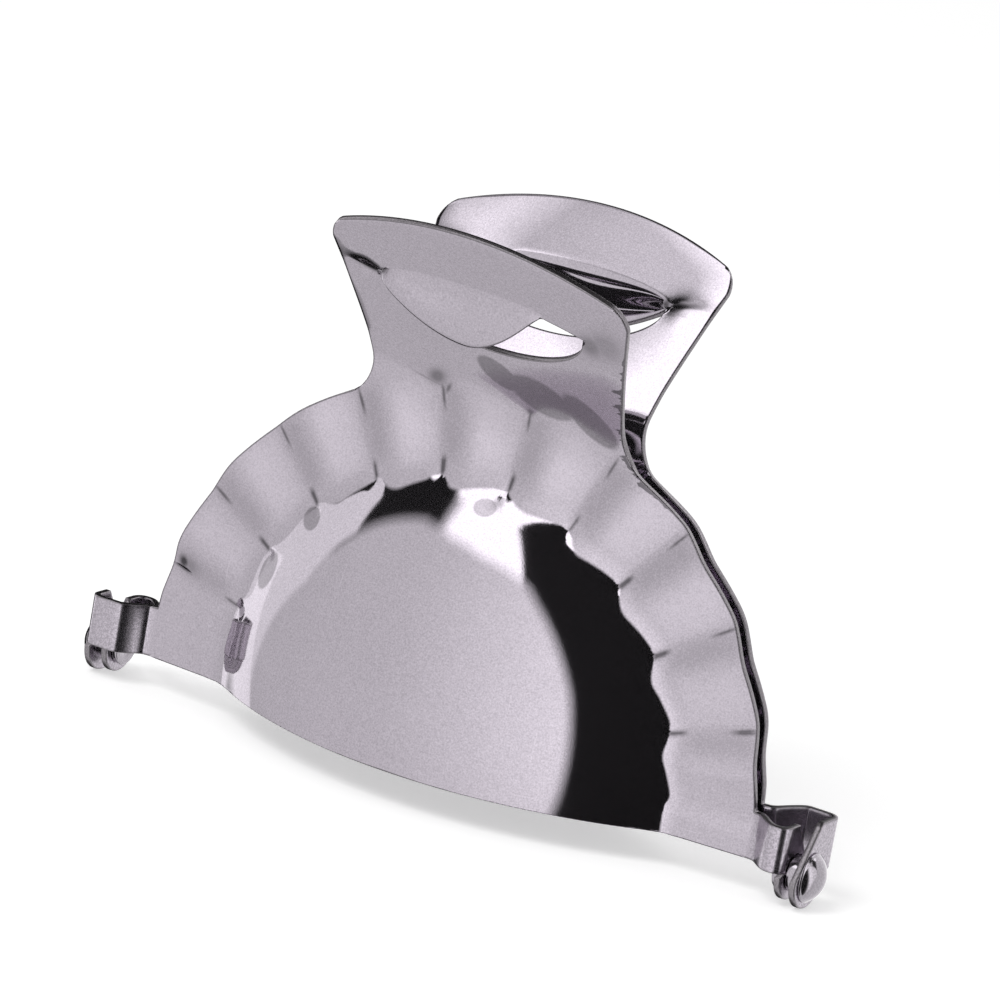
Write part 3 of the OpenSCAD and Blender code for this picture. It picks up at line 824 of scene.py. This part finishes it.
# painted dark reflections with clear edges, on the outer face: the fold below the handle and the bowl's
# dimples inside the creases
paintedReflectionPatches = [
    ((0.8, 46.5), (3.1, 1.6), -24, 0.5),
    ((6.2, 45.1), (4.6, 2.3), -14, 0.5),
    ((12.4, 44.0), (4.4, 2.0), -38, 0.5),
    ((-20.4, 22.7), (1.5, 1.4), 0, 0.52),
    ((-24.6, 15.4), (1.4, 2.5), -15, 0.52),
    ((1.6, 30.3), (1.5, 1.0), 0, 0.42),
]


def newMaterial(name):
    material = bpy.data.materials.new(name)
    material.use_nodes = True
    material.node_tree.nodes.clear()
    return material, Graph(material.node_tree)


def pressMarks(graph, noise, grain, blotch):  # depth left by the press, painted shade at its marks, at the cut edges and in the dents, painted light and shade on the flutes, and the ears' rubbing
    def stored(name, output="Fac"):
        return graph.node("ShaderNodeAttribute", {"attribute_name": name}, {}, output)

    x, _, z = graph.split(stored("plan", "Vector"))
    edge, ear, outer = stored("edgeDistance"), stored("earShare"), stored("outerFace")
    r, angle, low, high = rimPlace(x, z, plate)
    across = acrossCrease(r, angle, low, high, plate)
    firstAngle, lastAngle = marks["plateAngles"]
    onPlate = (1.0 - ear) * clamp01(angle - firstAngle) * clamp01(lastAngle - angle)

    def creaseMark(kind):
        wander = (blotch - 0.5) * marks[kind + "Wander"]
        return bell(across + wander, marks[kind + "Width"]) * band(r, *marks[kind + "Radii"]) * onPlate

    pinch, hook = creaseMark("pinch"), creaseMark("hook")
    # the pinched lines and hooks are darkened with painted shade, as shade falls in creases
    paintedDark = most(pinch * marks["pinchPaintedShade"], hook * marks["hookPaintedShade"])
    # soft spots of painted shade in and beside the dents
    for middle, reach, turn, darkness in paintedDentShade:
        share = spot(x, z, middle, reach, turn)
        broken = (grain - 0.5) * marks["dentShadeGrain"] * share
        paintedDark = most(paintedDark, clamp01(share * marks["dentShadeFill"] + broken) * darkness)
    # ovals of painted dark reflection with clear edges, on the outer face only
    for middle, reach, turn, darkness in paintedReflectionPatches:
        clear = clamp01((spot(x, z, middle, reach, turn) - marks["patchEdge"]) * marks["patchSharp"])
        paintedDark = most(paintedDark, clear * (darkness * outer))
    # painted shade along every cut edge, widened raggedly by a burr on the handle's right side
    burr = (noise(marks["burr"], 2.0, marks["burrStretch"]) - marks["burrStart"]) * marks["burrLength"]
    burr = most(burr * band(z, *marks["burrHeights"]) * (x > marks["burrFrom"]), 0.0)
    outline = clamp01((marks["edgeWidth"] + burr - edge) / marks["edgeSoft"]) * marks["edgePaintedShade"]
    paintedDark = most(paintedDark, outline) * (1.0 - ear * marks["earLoss"])

    # painted light and shade on each pleat: lighter on the gentle face past the crest, darker on the steep
    # face by the crease
    f = (high - angle) / (high - low)
    (lightAt, lightWidth, lighter), (shadeAt, shadeWidth, darker) = marks["paintedFluteLight"], marks["paintedFluteShade"]
    paintedFluteShading = bell(f - lightAt, lightWidth) * lighter - bell(f - shadeAt, shadeWidth) * darker
    paintedFluteShading = paintedFluteShading * band(r, *marks["paintedFluteRadii"]) * onPlate
    return pinch + hook, paintedDark, paintedFluteShading, clamp01(ear * marks["earRub"])


def steelMaterial(name, tint, rough, grainShare=1.0, pressed=False):  # grain, soft waves and, pressed, the press's marks with painted light and shade
    material, graph = newMaterial(name)
    place = graph.node("ShaderNodeTexCoord", {}, {}, "Object")

    def noise(scale, detail=2.0, stretch=None):
        at = graph.node("ShaderNodeMapping", {}, {"Vector": place, "Scale": stretch}) if stretch else place
        sockets = {"Vector": at, "Scale": scale, "Detail": detail, "Roughness": 0.6}
        return graph.node("ShaderNodeTexNoise", {}, sockets)

    grain, blotch = noise(finish["grain"], 1.0), noise(finish["blotch"], 3.0)
    light = (grain - 0.5) * finish["grainLight"] * grainShare + (blotch - 0.5) * finish["blotchLight"]
    for scale, stretch, start in finish["lines"]:
        line = clamp01((noise(scale, 1.0, stretch) - start) * finish["lineSharp"])
        light = light + line * finish["lineLight"]
    height = grain * finish["grainDepth"] + noise(finish["waves"], 1.0) * finish["waveDepth"]
    worn = clamp01((blotch - finish["blotchStart"]) * finish["blotchSharp"])
    roughness = rough + worn * finish["blotchRough"]
    if pressed:
        pinched, paintedDark, paintedFluteShading, rubbed = pressMarks(graph, noise, grain, blotch)
        height = height - pinched * finish["pinchDepth"]
        roughness = roughness + rubbed * (finish["earRough"] - rough) + paintedDark * marks["markRough"]
        coarse = (noise(finish["earGrain"], 3.0) - 0.5) * finish["earLight"] - finish["earShade"]
        # adds the painted light and shade of the flutes to the colour
        light = light + rubbed * coarse + paintedFluteShading
    low, high = ((*[min(c * finish[k], 1) for c in tint], 1) for k in ("darkest", "lightest"))
    shade = graph.node("ShaderNodeMix", {"data_type": "RGBA"}, {0: clamp01(0.5 + light), 6: low, 7: high}, 2)
    if pressed:
        # the base colour is mixed towards a dark tint where shade and dark reflections are painted
        paintedShadeTint = (*[c * finish["paintedShadeTint"] for c in tint], 1)
        shade = graph.node("ShaderNodeMix", {"data_type": "RGBA"}, {0: clamp01(paintedDark), 6: shade, 7: paintedShadeTint}, 2)
    bump = graph.node("ShaderNodeBump", {}, {"Strength": 1.0, "Distance": 1.0, "Height": height})
    graph.end("ShaderNodeOutputMaterial", graph.node("ShaderNodeBsdfPrincipled", {}, {
        "Metallic": finish["metallic"], "Base Color": shade, "Roughness": roughness, "Normal": bump}))
    return material


steel = steelMaterial("polished steel", finish["tint"], finish["rough"], pressed=True)
cutSteel = steelMaterial("cut edge", finish["edgeTint"], finish["cutRough"], finish["cutGrainShare"])
rivetSteel = steelMaterial("rivet steel", finish["rivetTint"], finish["rivetRough"])
tree = pressTree()
frontSheet = makeSheet("frontSheet", ears["frontOut"], False, tree, steel, cutSteel)
rearSheet = makeSheet("rearSheet", ears["rearOut"], True, tree, steel, cutSteel)
for piece, node, body in ((frontSheet, "front_half", "front"), (rearSheet, "rear_half", "rear")):
    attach(piece, body)
    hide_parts(node)
rivets = (("leftRivet", "left_rivet", "front", -1), ("rightRivet", "right_rivet", "rear", 1))
for name, node, body, side in rivets:
    piece = makeRivet(name, side, rivetSteel)
    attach(piece, body)
    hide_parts(node)
print("rivets turned:", len(rivets))

# studio: white surroundings with black flags and a brighter light, seen only in the steel. Its angles are
# degrees away from the middle of a white panel, and degrees turned about that, from its right
studio = {
    "domeRadius": 4.0, "centre": (-28.0, -5.0), "panelRadius": 52.9, "edgeSoft": 4.0, "turnSoft": 4.0,
    "sideTrim": 2.8, "sideTurns": (18.0, 54.0), "leftTrim": 2.0, "leftTurns": (108.0, 165.0, 12.0),
    "topTrim": 4.7, "topTurns": (62.0, 84.0), "topEndTurns": (115.0, 101.0),
    "flagTurns": (-75.0, -69.0), "flagEnd": (105.0, 97.0),
    "leftFlagTurns": (108.0, 154.0), "leftFlagEnd": (68.0, 62.0),
    "lampTurns": (50.0, 105.0), "lampSide": 66.0, "lampFrom": 50.0, "lampSlant": 2.2, "lampEnd": (62.0, 57.0),
    "paleTurns": (134.0, 200.0, 5.0), "paleEdge": 48.3, "paleStep": 8.0, "paleStepTurns": (144.0, 136.0),
    "paleSlant": 0.45, "paleSlantFrom": 167.0, "paleSoft": 2.0, "belowEnd": (52.0, 62.0), "belowSteep": 1.5,
    "level": 0.95, "rightLevel": 0.12, "glow": 0.5, "glowSpread": (0.75, 0.25, 0.1), "glowPower": 1.6,
    "bright": 2.3, "pale": 0.34, "shade": 0.10, "worldLight": 0.5,
}
scene = bpy.context.scene
scene.view_settings.view_transform = "Standard"


def towards(azimuth, elevation):
    az, el = math.radians(azimuth), math.radians(elevation)
    return Vector((math.sin(az) * math.cos(el), -math.cos(az) * math.cos(el), math.sin(el)))


def seenRays(graph):  # rays that see the white surroundings as they are
    light = graph.node("ShaderNodeLightPath").socket.node.outputs
    rays = ("Is Camera Ray", "Is Glossy Ray", "Is Transmission Ray")
    return clamp01(sum((Value(graph, light[k]) for k in rays), 0.0))


def seenInSteelOnly(piece):
    piece.visible_camera = piece.visible_diffuse = piece.visible_shadow = False
    piece.visible_transmission = piece.visible_volume_scatter = False


def makeSurroundings():
    world = bpy.data.worlds.new("studio")
    scene.world = world
    world.use_nodes = True
    world.node_tree.nodes.clear()
    graph = Graph(world.node_tree)
    strength = studio["worldLight"] + (1.0 - studio["worldLight"]) * seenRays(graph)
    back = graph.node("ShaderNodeBackground", {}, {"Color": white, "Strength": strength})
    graph.end("ShaderNodeOutputWorld", back)


def panelLevel(away, turn, side, up):  # how bright the surroundings are: panel, flags, lamp and pale stretch
    edge = studio["panelRadius"] - studio["sideTrim"] * ramp(turn, *studio["sideTurns"])
    edge = edge - studio["leftTrim"] * band(turn, *studio["leftTurns"])
    edge = edge - studio["topTrim"] * ramp(turn, *studio["topTurns"]) * ramp(turn, *studio["topEndTurns"])
    outside = past(away, edge, studio["edgeSoft"])
    soft = studio["turnSoft"]
    lampSide = studio["lampSide"] + (away - studio["lampFrom"]) * studio["lampSlant"]
    flags = outside * past(lampSide, turn, soft) * ramp(turn, *studio["flagTurns"])
    flags = flags * ramp(away, *studio["flagEnd"])
    paleEdge = studio["paleEdge"] + studio["paleStep"] * ramp(turn, *studio["paleStepTurns"])
    paleEdge = paleEdge + studio["paleSlant"] * most(turn - studio["paleSlantFrom"], 0.0)
    pale = past(away, paleEdge, studio["paleSoft"]) * band(turn, *studio["paleTurns"])
    leftFlag = outside * band(turn, *studio["leftFlagTurns"], soft) * ramp(away, *studio["leftFlagEnd"])
    flags = flags + leftFlag * (1.0 - pale)
    lamp = outside * past(turn, lampSide, soft) * band(turn, *studio["lampTurns"], soft)
    lamp = lamp * ramp(away, *studio["lampEnd"])
    below = clamp01(up * -studio["belowSteep"]) * ramp(away, *studio["belowEnd"])
    glowRight, glowUp, glowStart = studio["glowSpread"]
    glow = clamp01(side * glowRight + glowUp * up + glowStart) ** studio["glowPower"]
    level = studio["level"] + side * studio["rightLevel"] + glow * studio["glow"] - below * studio["shade"]
    level = level * (1.0 - clamp01(flags)) * (1.0 - lamp)
    return level + lamp * studio["bright"] + pale * studio["pale"]


def makeDome():
    material, graph = newMaterial("studio flags")
    place = graph.node("ShaderNodeTexCoord", {}, {}, "Object")
    ray = graph.node("ShaderNodeVectorMath", {"operation": "NORMALIZE"}, {0: place})
    x, y, z = graph.split(ray)
    front = 1.0 - 2.0 * (y > 0.0)  # the same set-up stands behind, turned half a turn
    ray = graph.node("ShaderNodeCombineXYZ", {}, {0: x * front, 1: y * front, 2: z})
    centre = towards(*studio["centre"])
    right = Vector((-centre.y, centre.x, 0)).normalized()

    def along(axis):
        return graph.node("ShaderNodeVectorMath", {"operation": "DOT_PRODUCT"}, {0: ray, 1: axis}, "Value")

    toCentre, toRight, toUp = (along(axis) for axis in (centre, right, centre.cross(right)))
    away = toCentre.math("ARCCOSINE") * (180 / math.pi)
    turn = toUp.math("ARCTAN2", toRight) * (180 / math.pi)
    turn = turn + (turn < -90.0) * 360.0
    side = toRight / math.sin(math.radians(studio["panelRadius"]))
    level = panelLevel(away, turn, side, toUp)
    filtered = graph.node("ShaderNodeBsdfTransparent", {}, {"Color": graph.grey(least(level, 1.0))})
    added = graph.node("ShaderNodeEmission", {}, {"Color": white, "Strength": most(level - 1.0, 0.0)})
    graph.end("ShaderNodeOutputMaterial", graph.node("ShaderNodeAddShader", {}, {0: filtered, 1: added}))
    bpy.ops.mesh.primitive_uv_sphere_add(segments=64, ring_count=32, radius=studio["domeRadius"])
    dome = bpy.context.object
    dome.name = "studioFlags"
    dome.data.materials.append(material)
    seenInSteelOnly(dome)


# grey net that keeps the bright light off the rear handle, in mm: it stands away from a point on the handle
card = {
    "point": (3.3, 12.8, 62.0), "facing": (-0.474, -0.498, 0.726), "away": 45.0,
    "half": (13.0, 12.0), "soft": 5.0, "level": 0.5,
}


def makeCard():
    material, graph = newMaterial("studio card")
    x, y, _ = graph.split(graph.node("ShaderNodeTexCoord", {}, {}, "Object"))
    (halfX, halfY), soft = (h * mm for h in card["half"]), card["soft"] * mm
    inside = clamp01((halfX - x.math("ABSOLUTE")) / soft) * clamp01((halfY - y.math("ABSOLUTE")) / soft)
    level = 1.0 - inside * (1.0 - card["level"])
    clear = graph.node("ShaderNodeBsdfTransparent", {}, {"Color": graph.grey(level)})
    graph.end("ShaderNodeOutputMaterial", clear)
    facing = Vector(card["facing"]).normalized()
    across = Vector((0, 0, 1)).cross(facing).normalized()
    turn = Matrix((across, facing.cross(across), facing)).transposed().to_4x4()
    corners = [(a * halfX, b * halfY, 0) for a, b in ((-1, -1), (1, -1), (1, 1), (-1, 1))]
    net = linked("studioCard", newMesh("studioCard", corners, [(0, 1, 2, 3)]))
    net.matrix_world = Matrix.Translation((Vector(card["point"]) + facing * card["away"]) * mm) @ turn
    net.data.materials.append(material)
    seenInSteelOnly(net)


floor = {"grey": 0.8, "glow": 0.5, "size": 12}  # its size in metres


def makeFloor():
    material, graph = newMaterial("pale floor")
    plain = graph.node("ShaderNodeBsdfDiffuse", {}, {"Color": (*[floor["grey"]] * 3, 1)})
    strength = floor["glow"] * seenRays(graph)
    glow = graph.node("ShaderNodeEmission", {}, {"Color": white, "Strength": strength})
    graph.end("ShaderNodeOutputMaterial", graph.node("ShaderNodeAddShader", {}, {0: plain, 1: glow}))
    bpy.ops.mesh.primitive_plane_add(size=floor["size"])
    ground = bpy.context.object
    ground.name = "floor"
    ground.visible_glossy = False  # the steel sees the white surroundings below the horizon too
    ground.data.materials.append(material)


keyLamp = {"azimuth": -25, "elevation": 55, "distance": 1.2, "size": 0.7, "power": 5}  # degrees, metres


def makeLamp():
    data = bpy.data.lights.new("keyLamp", "AREA")
    data.shape = "DISK"
    data.size = keyLamp["size"]
    data.energy = keyLamp["power"]
    lamp = bpy.data.objects.new("keyLamp", data)
    direction = towards(keyLamp["azimuth"], keyLamp["elevation"])
    lamp.location = direction * keyLamp["distance"]
    lamp.rotation_euler = (-direction).to_track_quat("-Z", "Y").to_euler()
    lamp.visible_glossy = False
    scene.collection.objects.link(lamp)


makeSurroundings()
makeDome()
makeCard()
makeFloor()
makeLamp()
print("studio lit")
